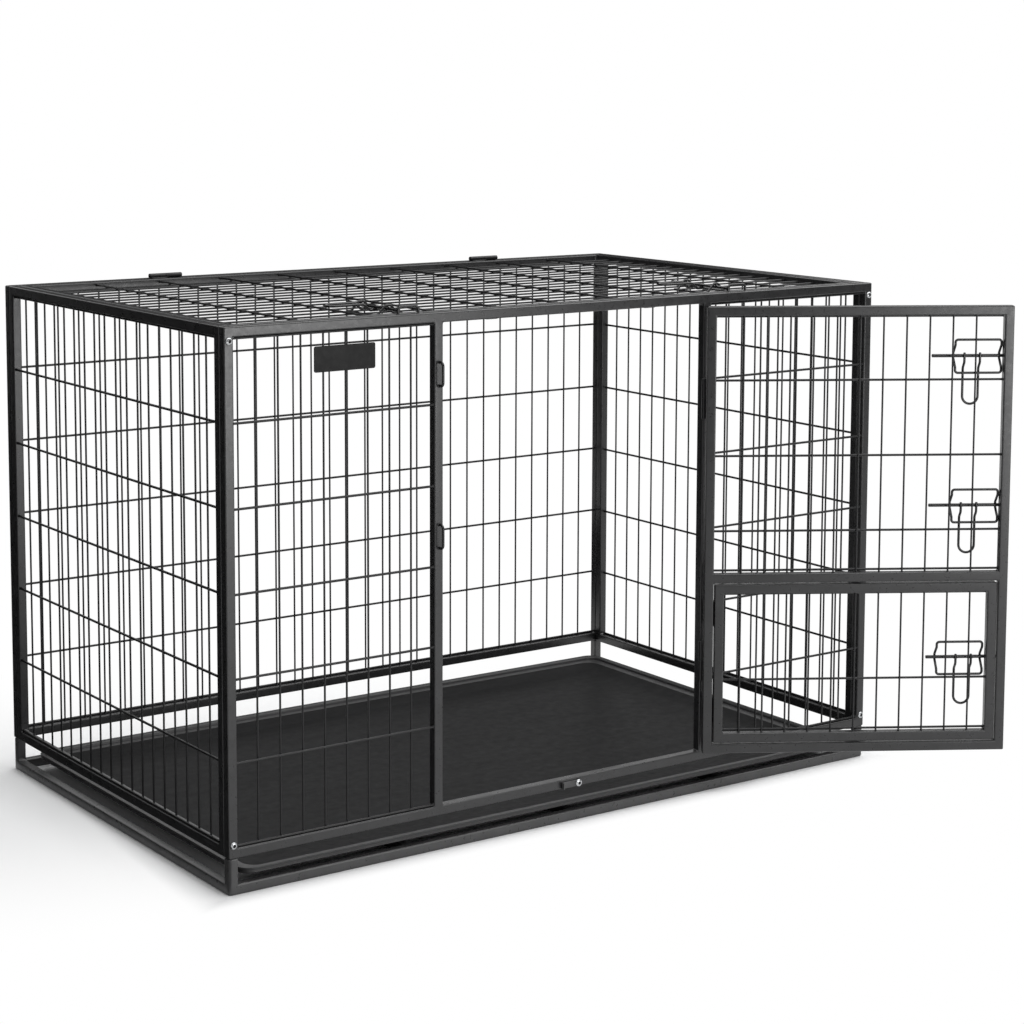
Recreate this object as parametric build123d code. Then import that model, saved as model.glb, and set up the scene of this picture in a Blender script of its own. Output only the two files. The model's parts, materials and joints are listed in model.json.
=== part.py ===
from build123d import *
from math import cos, radians, sin
import os

# Driving dimensions, in millimetres. +X runs right along the front, +Y to the back, +Z up.
# The origin is on the floor, under the middle of the crate.
CRATE_WIDTH = 1220.0
CRATE_DEPTH = 745.0
CRATE_HEIGHT = 808.0
TUBE = 15.0
TUBE_WALL = 1.2
TUBE_CORNER = 1.5
BASE_HEIGHT = 53.0
BASE_CORNER = 6.0
CROSS_BAR_PLACES = (-305.0, 0.0, 305.0)
PIN_CLEARANCE = 0.3
PIN_HEIGHT = 13.0

# Small rounds and wires are many-sided bars, so that the many of them stay light.
ROUND_SIDES = 16
WIRE_SIDES = 8

# Grille wires: dense ones on the tubes' middle plane, sparse ones one layer further out.
WIRE = 3.0
LAYER_GAP = 0.02
SPARSE_BAYS = 6
EDGE_WIRE_GAP = 2.5
EDGE_MARGIN = 30.0
FRONT_WIRES = 8
BACK_WIRES = 31
SIDE_WIRES = 18
LID_LONG_WIRES = 17
LID_CROSS_WIRES = 9
DOOR_WIRES = 11
DOOR_WIRE_PITCH = 37.06

# Main door, feed door inside it, and the lid. The main door stands open, as it is used.
DOORWAY = 495.0
DOOR_SIDE_GAP = 3.0
DOOR_END_GAP = 2.5
DOOR_MIDDLE_RAIL = 355.5
DOOR_OPEN_ANGLE = 148.6
FEED_SIDE_GAP = 2.0
LID_GAP = 3.0

# Barrel hinges: the axis stands proud of the faces that the wings are welded to.
BARREL = 8.0
BARREL_RISE = 4.0
HINGE_PIN = 5.0
HINGE_PLAY = 0.05
HINGE_SPLIT = 0.3
WING_REACH = 11.0
WING_THICKNESS = 2.0
DOOR_HINGE_LENGTH = 64.0
DOOR_HINGE_HEIGHTS = (218.5, 642.5)
FEED_HINGE_LENGTH = 40.0
FEED_HINGE_HEIGHTS = (138.0, 295.0)
LID_HINGE_LENGTH = 60.0
LID_HINGE_PLACES = (-327.0, 327.0)

# Wire slide bolts. Each is drawn from its rod's tip, pointing along its own +X.
ROD = 5.5
ROD_RISE = 4.5
BENT_WIRE = 4.0
GUIDE_LENGTH = 74.0
GUIDE_HEIGHT = 53.0
GUIDE_CORNER = 6.0
GUIDE_DEPTH = 4.0
HUMP_FOOT = 11.0
HUMP_TOP = 5.0
HUMP_RISE = 9.5
HANDLE_WIDTH = 25.0
HANDLE_DROP = 78.0
HANDLE_START = 5.5
HANDLE_BEND_STEPS = 4
KNEE_FROM = 10.0
KNEE_TO = 20.0
KNEE_OUT = 9.0
WELD_GAP = 0.05
KEEPER_BELOW = 9.0
KEEPER_ABOVE = 26.0
KEEPER_RISE = 18.0
KEEPER_CORNER = 6.0

# Rod length, guide's distance behind the tip and handle's distance behind the tip.
DOOR_BOLT = (124.0, 14.2, 60.0)
FEED_BOLT = (110.0, 20.0, 49.5)
LID_BOLT = (140.0, 28.5, 76.0)
DOOR_BOLT_HEIGHTS = (468.0, 709.0)
DOOR_BOLT_INSET = 3.0
FEED_BOLT_HEIGHT = 220.0
FEED_BOLT_REACH = 1.0
LID_BOLT_PLACES = (-312.0, 312.0)
LID_BOLT_INSET = 2.5

# Sliding tray
TRAY_WIDTH = 1166.0
TRAY_FRONT = -362.0
TRAY_BACK = 347.0
TRAY_BOTTOM = 15.3
TRAY_THICKNESS = 2.0
TRAY_CORNER = 25.0
TRAY_ROLL = 8.0
TRAY_ROLL_CHAMFER = 2.3
TRAY_ROLL_BOTTOM = 22.0
TRAY_LEDGE_INSET = 24.0
TRAY_FLOOR_INSET = 58.0

# Tray lock tab, stops, name plate and screws
TAB_REACH = 32.0
TAB_WIDTH = 10.0
TAB_THICKNESS = 2.0
TAB_LIP = 5.0
TAB_GAP = 0.2
TAB_PIVOT = (4.0, 59.0)
TAB_SCREW = 4.0
TAB_SCREW_HEAD = 9.0
TAB_SCREW_HEAD_HEIGHT = 2.4
STOP_THICKNESS = 2.0
STOP_LENGTH = 20.0
STOP_REACH = 9.5
STOP_GAP = 0.4
DOOR_STOP_HEIGHT = 91.0
LID_STOP_PLACES = (-150.0, 150.0)
PLATE_WIDTH = 102.0
PLATE_HEIGHT = 37.4
PLATE_THICKNESS = 1.5
PLATE_CORNER = 1.75
PLATE_CENTRE = (-412.6, 752.3)
STRAP_WIDTH = 60.0
STRAP_HEIGHT = 12.0
RIVET = 4.0
RIVET_BAYS = (4.5, 5.5)
SCREW = 6.0
SCREW_LENGTH = 26.0
SCREW_HEAD = 11.0
SCREW_HEAD_HEIGHT = 3.0
SCREW_HEAD_CHAMFER = 1.4
SOCKET = 4.0
SOCKET_DEPTH = 1.8
SCREW_HEIGHTS = (72.5, 788.0)

# Places worked out from the driving dimensions
HALF_WIDTH = CRATE_WIDTH / 2
HALF_DEPTH = CRATE_DEPTH / 2
HALF_TUBE = TUBE / 2
PANEL_HEIGHT = CRATE_HEIGHT - BASE_HEIGHT
CLEAR_BOTTOM = BASE_HEIGHT + TUBE
CLEAR_TOP = CRATE_HEIGHT - TUBE
SIDE_FRAME_LENGTH = CRATE_DEPTH - 2 * TUBE
SECTION_WIDTH = HALF_WIDTH - 2 * TUBE - DOORWAY / 2
DOOR_WIDTH = DOORWAY - 2 * DOOR_SIDE_GAP
DOOR_EDGE = DOOR_WIDTH / 2
DOOR_BOTTOM = CLEAR_BOTTOM + DOOR_END_GAP
DOOR_TOP = CLEAR_TOP - DOOR_END_GAP
DOOR_HINGE_X = DOORWAY / 2 - DOOR_SIDE_GAP / 2
FEED_EDGE = DOOR_EDGE - TUBE - FEED_SIDE_GAP
FEED_WIDTH = 2 * FEED_EDGE
FEED_BOTTOM = DOOR_BOTTOM + TUBE + DOOR_END_GAP
FEED_TOP = DOOR_MIDDLE_RAIL - HALF_TUBE - DOOR_END_GAP
FEED_HINGE_X = FEED_EDGE + FEED_SIDE_GAP / 2
LID_LENGTH = CRATE_WIDTH - 2 * TUBE - 2 * LID_GAP
LID_DEPTH = CRATE_DEPTH - 2 * TUBE - 2 * LID_GAP
LID_HINGE_Y = LID_DEPTH / 2 + LID_GAP / 2
FRONT_FACE = -HALF_DEPTH
FRONT_MIDDLE = FRONT_FACE + HALF_TUBE
DOOR_AXIS = Axis((DOOR_HINGE_X, FRONT_FACE - BARREL_RISE, 0), (0, 0, 1))

NODES = {}


def add_node(name, pieces):
    """Keep the pieces as one named group of separate solids."""
    NODES[name] = Compound([solid for piece in pieces for solid in piece.solids()])


def add_door_node(name, pieces):
    """Keep pieces that are drawn with the main door shut, turned to where it stands open."""
    add_node(name, [piece.rotate(DOOR_AXIS, DOOR_OPEN_ANGLE) for piece in pieces])


def square_tube(start, end):
    """Square tube on a centre line along one axis, open at its start and closed at its end."""
    line = Vector(*end) - Vector(*start)
    across = (1, 0, 0) if line.Z else (0, 0, 1)
    section = Plane(origin=start, x_dir=across, z_dir=line)
    outline = chamfer(Rectangle(TUBE, TUBE).vertices(), TUBE_CORNER)
    bore = Rectangle(TUBE - 2 * TUBE_WALL, TUBE - 2 * TUBE_WALL)
    return extrude(section * outline, line.length) - extrude(section * bore, line.length - TUBE_WALL)


def wire_section(size):
    return RegularPolygon(size / 2, WIRE_SIDES, major_radius=False, rotation=180 / WIRE_SIDES)


def round_bar(size):
    """Section of a small round bar: its corners lie on the circle."""
    return RegularPolygon(size / 2, ROUND_SIDES)


def round_bore(size):
    """Section of a bore: its flats lie on the circle, so that a bar of that size still turns in it."""
    return RegularPolygon(size / 2, ROUND_SIDES, major_radius=False)


def straight_wire(start, end):
    line = Vector(*end) - Vector(*start)
    across = (1, 0, 0) if line.Y else (0, 0, 1)
    return extrude(Plane(origin=start, x_dir=across, z_dir=line) * wire_section(WIRE), line.length)


def bent_wire(points):
    path = Polyline(*points)
    section = Plane(origin=path @ 0, z_dir=path % 0) * wire_section(BENT_WIRE)
    return sweep(section, path=path, transition=Transition.RIGHT)


def placed(plane, pieces):
    return [plane * piece for piece in pieces]


def tube_frame(width, height, uprights=(), rails=()):
    """Frame in its own XY plane, outside towards +Z: full-height stiles with rails between them."""
    pieces = []
    for x in (HALF_TUBE, width - HALF_TUBE):
        pieces.append(square_tube((x, 0, 0), (x, height, 0)))
    for y in (HALF_TUBE, *rails, height - HALF_TUBE):
        pieces.append(square_tube((TUBE, y, 0), (width - TUBE, y, 0)))
    for x in uprights:
        pieces.append(square_tube((x, TUBE, 0), (x, height - TUBE, 0)))
    return pieces


def grille(width, height, dense, sparse):
    """Welded wires across a clear opening in its own XY plane, the sparse layer towards +Z."""
    layer = WIRE + LAYER_GAP
    uprights = [straight_wire((x, 0, 0), (x, height, 0)) for x in dense]
    cross_wires = [straight_wire((0, y, layer), (width, y, layer)) for y in sparse]
    return uprights + cross_wires


def spread(count, length):
    return [length * (i + 1) / (count + 1) for i in range(count)]


def centred(count, pitch, length):
    first = (length - (count - 1) * pitch) / 2
    return [first + i * pitch for i in range(count)]


def cross_heights(low, high):
    """Cross wires of an opening between two heights: the crate's common levels and one at each edge."""
    bay = (CLEAR_TOP - CLEAR_BOTTOM) / SPARSE_BAYS
    levels = [CLEAR_BOTTOM + i * bay for i in range(1, SPARSE_BAYS)]
    inside = [z for z in levels if low + EDGE_MARGIN < z < high - EDGE_MARGIN]
    edges = [low + EDGE_WIRE_GAP + WIRE / 2, high - LAYER_GAP - WIRE / 2]
    return [z - low for z in inside + edges]


def base_post(x, y):
    """Corner post on the floor, closed at its top, with its outer corner well rounded."""
    square = Rectangle(TUBE, TUBE)
    outline = fillet(square.vertices().sort_by_distance((x, y))[0], BASE_CORNER)
    hollow = Rectangle(TUBE - 2 * TUBE_WALL, TUBE - 2 * TUBE_WALL)
    bore = chamfer(hollow.vertices().sort_by_distance((x, y))[0], BASE_CORNER / 2)
    return Pos(x, y) * (extrude(outline, BASE_HEIGHT) - extrude(bore, BASE_HEIGHT - TUBE_WALL))


def base():
    """Corner posts that lift the panels, rails between them on the floor, cross bars under the tray."""
    tubes = []
    rail_x = HALF_WIDTH - HALF_TUBE
    rail_y = HALF_DEPTH - HALF_TUBE
    for y in (-rail_y, rail_y):
        reach = HALF_WIDTH - TUBE
        tubes.append(square_tube((-reach, y, HALF_TUBE), (reach, y, HALF_TUBE)))
    for x in (-rail_x, *CROSS_BAR_PLACES, rail_x):
        reach = HALF_DEPTH - TUBE
        tubes.append(square_tube((x, -reach, HALF_TUBE), (x, reach, HALF_TUBE)))
    pins = []
    pin_side = TUBE - 2 * TUBE_WALL - 2 * PIN_CLEARANCE
    for x in (-rail_x, rail_x):
        for y in (-rail_y, rail_y):
            tubes.append(base_post(x, y))
            pins.append(Pos(x, y, BASE_HEIGHT + PIN_HEIGHT / 2) * Box(pin_side, pin_side, PIN_HEIGHT))
    add_node("base_frame", tubes)
    add_node("panel_locating_pins", pins)


def fixed_panels():
    """Front and back panels across the full width, side panels held between them."""
    clear_height = CLEAR_TOP - CLEAR_BOTTOM
    heights = cross_heights(CLEAR_BOTTOM, CLEAR_TOP)
    back_width = CRATE_WIDTH - 2 * TUBE
    side_width = SIDE_FRAME_LENGTH - 2 * TUBE
    side_x = HALF_WIDTH - HALF_TUBE
    side_y = HALF_DEPTH - TUBE

    front = Plane((-HALF_WIDTH, FRONT_MIDDLE, BASE_HEIGHT), (1, 0, 0), (0, -1, 0))
    back = Plane((HALF_WIDTH, -FRONT_MIDDLE, BASE_HEIGHT), (-1, 0, 0), (0, 1, 0))
    left = Plane((-side_x, side_y, BASE_HEIGHT), (0, -1, 0), (-1, 0, 0))
    right = Plane((side_x, -side_y, BASE_HEIGHT), (0, 1, 0), (1, 0, 0))
    door_posts = [HALF_WIDTH + side * (DOORWAY + TUBE) / 2 for side in (-1, 1)]

    add_node("front_panel_frame", placed(front, tube_frame(CRATE_WIDTH, PANEL_HEIGHT, door_posts)))
    add_node("back_panel_frame", placed(back, tube_frame(CRATE_WIDTH, PANEL_HEIGHT)))
    add_node("left_panel_frame", placed(left, tube_frame(SIDE_FRAME_LENGTH, PANEL_HEIGHT)))
    add_node("right_panel_frame", placed(right, tube_frame(SIDE_FRAME_LENGTH, PANEL_HEIGHT)))

    section = grille(SECTION_WIDTH, clear_height, spread(FRONT_WIRES, SECTION_WIDTH), heights)
    right_start = CRATE_WIDTH - TUBE - SECTION_WIDTH
    add_node("front_left_wires", placed(front * Pos(TUBE, TUBE), section))
    add_node("front_right_wires", placed(front * Pos(right_start, TUBE), section))
    back_wires = grille(back_width, clear_height, spread(BACK_WIRES, back_width), heights)
    add_node("back_panel_wires", placed(back * Pos(TUBE, TUBE), back_wires))
    side_wires = grille(side_width, clear_height, spread(SIDE_WIRES, side_width), heights)
    add_node("left_panel_wires", placed(left * Pos(TUBE, TUBE), side_wires))
    add_node("right_panel_wires", placed(right * Pos(TUBE, TUBE), side_wires))


def name_plate():
    """Blank plate seated on the front-left upright wires, riveted to a strap behind them."""
    x, z = PLATE_CENTRE
    face = Plane((x, FRONT_MIDDLE - WIRE / 2, z), (1, 0, 0), (0, -1, 0))
    outline = chamfer(Rectangle(PLATE_WIDTH, PLATE_HEIGHT).vertices(), PLATE_CORNER)
    plate = extrude(face * outline, PLATE_THICKNESS)
    behind = Plane((x, FRONT_MIDDLE + WIRE / 2, z), (1, 0, 0), (0, 1, 0))
    strap = extrude(behind * Rectangle(STRAP_WIDTH, STRAP_HEIGHT), PLATE_THICKNESS)
    bay = SECTION_WIDTH / (FRONT_WIRES + 1)
    rivets = []
    for count in RIVET_BAYS:
        rivet_x = -HALF_WIDTH + TUBE + count * bay
        foot = Plane((rivet_x, FRONT_MIDDLE + WIRE / 2, z), (1, 0, 0), (0, -1, 0))
        rivets.append(extrude(foot * wire_section(RIVET), WIRE))
    add_node("name_plate", [plate])
    add_node("name_plate_clip", [strap] + rivets)


def corner_screws():
    """Button-head socket screws through the front and back posts into the side panels' posts."""
    blank = extrude(round_bar(SCREW_HEAD), SCREW_HEAD_HEIGHT)
    head = chamfer(blank.edges().group_by(Axis.Z)[-1], SCREW_HEAD_CHAMFER)
    socket = Pos(0, 0, SCREW_HEAD_HEIGHT - SOCKET_DEPTH) * extrude(
        RegularPolygon(SOCKET / 2, 6, major_radius=False), SOCKET_DEPTH
    )
    shank = Pos(0, 0, -SCREW_LENGTH) * extrude(wire_section(SCREW), SCREW_LENGTH)
    screw = head + shank - socket
    screws = []
    for side in (-1, 1):
        for x in (HALF_TUBE - HALF_WIDTH, HALF_WIDTH - HALF_TUBE):
            for z in SCREW_HEIGHTS:
                screws.append(Plane((x, side * HALF_DEPTH, z), (1, 0, 0), (0, side, 0)) * screw)
    add_node("corner_screws", screws)


def stops():
    """Tabs that the shut door and the shut lid come to rest against."""
    door_y = FRONT_FACE + TUBE + STOP_GAP + STOP_THICKNESS / 2
    door_x = -DOORWAY / 2 + STOP_REACH / 2
    door_stop = Pos(door_x, door_y, DOOR_STOP_HEIGHT) * Box(STOP_REACH, STOP_THICKNESS, STOP_LENGTH)
    lid_y = FRONT_FACE + TUBE + STOP_REACH / 2
    lid_z = CLEAR_TOP - STOP_GAP - STOP_THICKNESS / 2
    lid_tab = Box(STOP_LENGTH, STOP_REACH, STOP_THICKNESS)
    add_node("door_stop", [door_stop])
    add_node("lid_stops", [Pos(x, lid_y, lid_z) * lid_tab for x in LID_STOP_PLACES])


def hinge_half(low, high, side):
    """Barrel along +Z with a wing welded to the face that lies BARREL_RISE away along +Y."""
    length = high - low
    barrel = Pos(0, 0, low) * extrude(round_bar(BARREL), length)
    wing_y = BARREL_RISE - WING_THICKNESS / 2
    wing = Pos(side * WING_REACH / 2, wing_y, low + length / 2) * Box(WING_REACH, WING_THICKNESS, length)
    bore = Pos(0, 0, low) * extrude(round_bore(HINGE_PIN + 2 * HINGE_PLAY), length)
    return barrel + wing - bore


def hinges(planes, length):
    """Moving halves, fixed halves and pins, the moving wing towards +X of each plane."""
    half = length / 2
    moving = hinge_half(-half, -HINGE_SPLIT / 2, 1)
    fixed = hinge_half(HINGE_SPLIT / 2, half, -1)
    pin = Pos(0, 0, -half) * extrude(Circle(HINGE_PIN / 2), length)
    return [[plane * piece for plane in planes] for piece in (moving, fixed, pin)]


def guide(setback):
    """Wire loop that carries a bolt: its short sides rise in a hump over the rod."""
    back, front = -setback - GUIDE_LENGTH, -setback
    top, low = GUIDE_HEIGHT / 2, -GUIDE_DEPTH

    def side_points(x, sign):
        return [
            (x, sign * (top - GUIDE_CORNER), low),
            (x, sign * HUMP_FOOT, low),
            (x, sign * HUMP_TOP, HUMP_RISE),
            (x, -sign * HUMP_TOP, HUMP_RISE),
            (x, -sign * HUMP_FOOT, low),
            (x, -sign * (top - GUIDE_CORNER), low),
        ]

    points = side_points(back, 1)
    points += [(back + GUIDE_CORNER, -top, low), (front - GUIDE_CORNER, -top, low)]
    points += side_points(front, -1)
    points += [(front - GUIDE_CORNER, top, low), (back + GUIDE_CORNER, top, low)]
    return bent_wire(points + [points[0]])


def rod(length):
    tip = Plane((-length, 0, ROD_RISE), (0, 1, 0), (1, 0, 0))
    return extrude(tip * round_bar(ROD), length)


def handle(setback, hang):
    """U of wire under the rod; its legs knee outwards over the guide. hang is the side it falls to."""
    half = HANDLE_WIDTH / 2
    inner = ROD_RISE - (ROD + BENT_WIRE) / 2 - WELD_GAP
    outer = inner + KNEE_OUT
    leg = [(half, -HANDLE_START, inner), (half, KNEE_FROM, inner), (half, KNEE_TO, outer)]
    other = [(-x, y, z) for x, y, z in reversed(leg)]
    bend = []
    for step in range(HANDLE_BEND_STEPS + 1):
        turn = radians(180 * step / HANDLE_BEND_STEPS)
        bend.append((half * cos(turn), HANDLE_DROP - half + half * sin(turn), outer))
    return bent_wire([(x - setback, hang * y, z) for x, y, z in leg + bend + other])


def keeper(hang):
    """Wire staple that a bolt's rod slides under, its feet on the face."""
    below, above = hang * KEEPER_BELOW, -hang * KEEPER_ABOVE
    corner = hang * KEEPER_CORNER
    shoulder = KEEPER_RISE - KEEPER_CORNER
    points = [
        (0, below, 0),
        (0, below, shoulder),
        (0, below - corner, KEEPER_RISE),
        (0, above + corner, KEEPER_RISE),
        (0, above, shoulder),
        (0, above, 0),
    ]
    return bent_wire(points)


def front_plane(x, z):
    """Plane on the crate's front face, +X to the left and +Z outwards, so +Y is down."""
    return Plane((x, FRONT_FACE, z), (-1, 0, 0), (0, -1, 0))


def main_door():
    corner = Plane((-DOOR_EDGE, FRONT_MIDDLE, DOOR_BOTTOM), (1, 0, 0), (0, -1, 0))
    middle = DOOR_MIDDLE_RAIL - DOOR_BOTTOM
    frame = tube_frame(DOOR_WIDTH, DOOR_TOP - DOOR_BOTTOM, rails=[middle])
    add_door_node("door_frame", placed(corner, frame))

    low = DOOR_MIDDLE_RAIL + HALF_TUBE
    high = DOOR_TOP - TUBE
    clear = DOOR_WIDTH - 2 * TUBE
    wires = grille(clear, high - low, centred(DOOR_WIRES, DOOR_WIRE_PITCH, clear), cross_heights(low, high))
    add_door_node("door_wires", placed(corner * Pos(TUBE, low - DOOR_BOTTOM), wires))

    axis_y = FRONT_FACE - BARREL_RISE
    places = [Plane((DOOR_HINGE_X, axis_y, z), (-1, 0, 0), (0, 0, -1)) for z in DOOR_HINGE_HEIGHTS]
    moving, fixed, pins = hinges(places, DOOR_HINGE_LENGTH)
    add_door_node("door_hinge_moving_halves", moving)
    add_node("door_hinge_fixed_halves", fixed)
    add_node("door_hinge_pins", pins)

    length, guide_back, handle_back = DOOR_BOLT
    bolts = [front_plane(DOOR_BOLT_INSET - DOOR_EDGE, z) for z in DOOR_BOLT_HEIGHTS]
    add_door_node("door_bolt_guides", [plane * guide(guide_back) for plane in bolts])
    for name, plane in zip(("lower", "upper"), bolts):
        add_door_node(f"{name}_bolt_rod", [plane * rod(length)])
        add_door_node(f"{name}_bolt_handle", [plane * handle(handle_back, 1)])
    post_x = -(DOORWAY + TUBE) / 2
    add_node("door_keepers", [front_plane(post_x, z) * keeper(1) for z in DOOR_BOLT_HEIGHTS])


def feed_door():
    """Small door in the lower half of the main door, hinged on the main door's hinge side."""
    corner = Plane((-FEED_EDGE, FRONT_MIDDLE, FEED_BOTTOM), (1, 0, 0), (0, -1, 0))
    height = FEED_TOP - FEED_BOTTOM
    add_door_node("feed_door_frame", placed(corner, tube_frame(FEED_WIDTH, height)))

    low, high = FEED_BOTTOM + TUBE, FEED_TOP - TUBE
    clear = FEED_WIDTH - 2 * TUBE
    wires = grille(clear, high - low, centred(DOOR_WIRES, DOOR_WIRE_PITCH, clear), cross_heights(low, high))
    add_door_node("feed_door_wires", placed(corner * Pos(TUBE, TUBE), wires))

    axis_y = FRONT_FACE - BARREL_RISE
    places = [Plane((FEED_HINGE_X, axis_y, z), (-1, 0, 0), (0, 0, -1)) for z in FEED_HINGE_HEIGHTS]
    moving, fixed, pins = hinges(places, FEED_HINGE_LENGTH)
    add_door_node("feed_hinge_moving_halves", moving)
    add_door_node("feed_hinge_fixed_halves", fixed)
    add_door_node("feed_hinge_pins", pins)

    length, guide_back, handle_back = FEED_BOLT
    bolt = front_plane(-FEED_EDGE - FEED_BOLT_REACH, FEED_BOLT_HEIGHT)
    add_door_node("feed_bolt_guide", [bolt * guide(guide_back)])
    add_door_node("feed_bolt_rod", [bolt * rod(length)])
    add_door_node("feed_bolt_handle", [bolt * handle(handle_back, 1)])
    add_door_node("feed_keeper", [front_plane(HALF_TUBE - DOOR_EDGE, FEED_BOLT_HEIGHT) * keeper(1)])


def lid():
    """Top panel let in flush between the four top rails and hinged at the back."""
    middle_z = CRATE_HEIGHT - HALF_TUBE
    corner = Plane((LID_LENGTH / 2, -LID_DEPTH / 2, middle_z), (0, 1, 0), (0, 0, 1))
    add_node("lid_frame", placed(corner, tube_frame(LID_DEPTH, LID_LENGTH)))
    clear_depth = LID_DEPTH - 2 * TUBE
    clear_length = LID_LENGTH - 2 * TUBE
    long_wires = spread(LID_LONG_WIRES, clear_depth)
    wires = grille(clear_depth, clear_length, long_wires, spread(LID_CROSS_WIRES, clear_length))
    add_node("lid_wires", placed(corner * Pos(TUBE, TUBE), wires))

    axis_z = CRATE_HEIGHT + BARREL_RISE
    places = [Plane((x, LID_HINGE_Y, axis_z), (0, -1, 0), (1, 0, 0)) for x in LID_HINGE_PLACES]
    moving, fixed, pins = hinges(places, LID_HINGE_LENGTH)
    add_node("lid_hinge_moving_halves", moving)
    add_node("lid_hinge_fixed_halves", fixed)
    add_node("lid_hinge_pins", pins)

    length, guide_back, handle_back = LID_BOLT
    tip_y = LID_BOLT_INSET - LID_DEPTH / 2
    bolts = [Plane((x, tip_y, CRATE_HEIGHT), (0, -1, 0), (0, 0, 1)) for x in LID_BOLT_PLACES]
    add_node("lid_bolt_guides", [plane * guide(guide_back) for plane in bolts])
    for name, plane in zip(("left", "right"), bolts):
        add_node(f"lid_{name}_bolt_rod", [plane * rod(length)])
        add_node(f"lid_{name}_bolt_handle", [plane * handle(handle_back, -1)])
    rail = [Plane((x, FRONT_MIDDLE, CRATE_HEIGHT), (0, -1, 0), (0, 0, 1)) for x in LID_BOLT_PLACES]
    add_node("lid_keepers", [plane * keeper(-1) for plane in rail])


def tray_outline(inset, z, corner):
    """The tray's rounded outline at a height, drawn in by inset on every side."""
    width = TRAY_WIDTH - 2 * inset
    depth = TRAY_BACK - TRAY_FRONT - 2 * inset
    return Pos(0, (TRAY_FRONT + TRAY_BACK) / 2, z) * RectangleRounded(width, depth, corner)


def tray():
    """Moulded pan: a rolled rim, a ledge inside it and a shallow slope down to the floor."""
    ledge = TRAY_ROLL_BOTTOM + TRAY_THICKNESS
    rim = extrude(tray_outline(0, TRAY_ROLL_BOTTOM, TRAY_CORNER), TRAY_ROLL)
    rim -= extrude(tray_outline(TRAY_ROLL, ledge, TRAY_CORNER - TRAY_ROLL), TRAY_ROLL)
    layers = rim.edges().group_by(Axis.Z)
    rim = chamfer(layers[0] + layers[-1], TRAY_ROLL_CHAMFER)
    pan = loft(
        [
            tray_outline(TRAY_FLOOR_INSET, TRAY_BOTTOM, TRAY_CORNER),
            tray_outline(TRAY_LEDGE_INSET, TRAY_ROLL_BOTTOM, TRAY_CORNER),
        ],
        ruled=True,
    )
    add_node("tray", [rim + pan - Pos(0, 0, TRAY_THICKNESS) * pan])


def tray_lock():
    """Lipped tab on the front bottom rail that turns down in front of the tray."""
    pivot_x, pivot_z = TAB_PIVOT
    face = Plane((pivot_x, FRONT_FACE - TAB_GAP, pivot_z), (1, 0, 0), (0, -1, 0))
    outline = Pos(-TAB_REACH / 2, 0) * Rectangle(TAB_REACH, TAB_WIDTH) + round_bar(TAB_WIDTH)
    strip = extrude(outline - round_bore(TAB_SCREW + 2 * HINGE_PLAY), TAB_THICKNESS)
    lip_height = TAB_THICKNESS + TAB_LIP
    lip = Pos(TAB_THICKNESS / 2 - TAB_REACH, 0, lip_height / 2) * Box(TAB_THICKNESS, TAB_WIDTH, lip_height)
    add_node("tray_lock_tab", [face * (strip + lip)])

    head_low = TAB_GAP + TAB_THICKNESS + TAB_GAP
    rail_face = Plane((pivot_x, FRONT_FACE, pivot_z), (1, 0, 0), (0, -1, 0))
    head = Pos(0, 0, head_low) * extrude(round_bar(TAB_SCREW_HEAD), TAB_SCREW_HEAD_HEIGHT)
    shank = Pos(0, 0, -HALF_TUBE) * extrude(round_bar(TAB_SCREW), HALF_TUBE + head_low)
    add_node("tray_lock_screw", [rail_face * (head + shank)])


def main():
    base()
    fixed_panels()
    name_plate()
    corner_screws()
    stops()
    main_door()
    feed_door()
    lid()
    tray()
    tray_lock()
    os.makedirs("parts", exist_ok=True)
    for name, shape in NODES.items():
        export_step(shape, f"parts/{name}.step")


main()
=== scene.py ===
import json
import math
import random

import bmesh
import bpy
from mathutils import Matrix, Quaternion, Vector

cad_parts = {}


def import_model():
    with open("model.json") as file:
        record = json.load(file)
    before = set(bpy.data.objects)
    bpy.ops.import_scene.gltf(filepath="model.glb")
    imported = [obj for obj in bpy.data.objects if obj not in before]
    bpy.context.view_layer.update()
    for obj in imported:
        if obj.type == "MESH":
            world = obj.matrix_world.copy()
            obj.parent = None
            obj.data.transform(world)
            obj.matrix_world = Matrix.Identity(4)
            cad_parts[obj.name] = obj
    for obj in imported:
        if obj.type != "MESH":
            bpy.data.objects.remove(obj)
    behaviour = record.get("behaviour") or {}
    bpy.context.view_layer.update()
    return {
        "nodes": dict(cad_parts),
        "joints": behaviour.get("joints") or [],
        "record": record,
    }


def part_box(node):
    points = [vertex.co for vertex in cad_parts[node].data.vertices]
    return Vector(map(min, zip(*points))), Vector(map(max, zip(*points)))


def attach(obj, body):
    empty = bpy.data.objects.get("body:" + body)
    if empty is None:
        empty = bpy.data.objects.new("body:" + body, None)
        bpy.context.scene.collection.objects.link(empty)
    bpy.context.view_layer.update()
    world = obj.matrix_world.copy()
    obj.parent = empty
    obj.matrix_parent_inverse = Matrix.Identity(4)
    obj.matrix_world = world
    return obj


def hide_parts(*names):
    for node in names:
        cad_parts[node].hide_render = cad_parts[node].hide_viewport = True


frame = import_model()

# Lengths are in metres: points this close are one, a tube's neighbour is looked for this far beyond its end,
# welds and feet reach this deep into what they stand on, and sheet and bar have edges broken by this much
MM = 0.001
MERGE = 1e-6
PROBE = 1 * MM
SHORT_LEAD = 0.5 * MM
EDGE_BREAK = 0.35 * MM

# Angles, in degrees, from which an edge is shaded sharp
SHARP = 38
WIRE_SHARP = 70
STAPLE_SHARP = 60
TRAY_SHARP = 50

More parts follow.
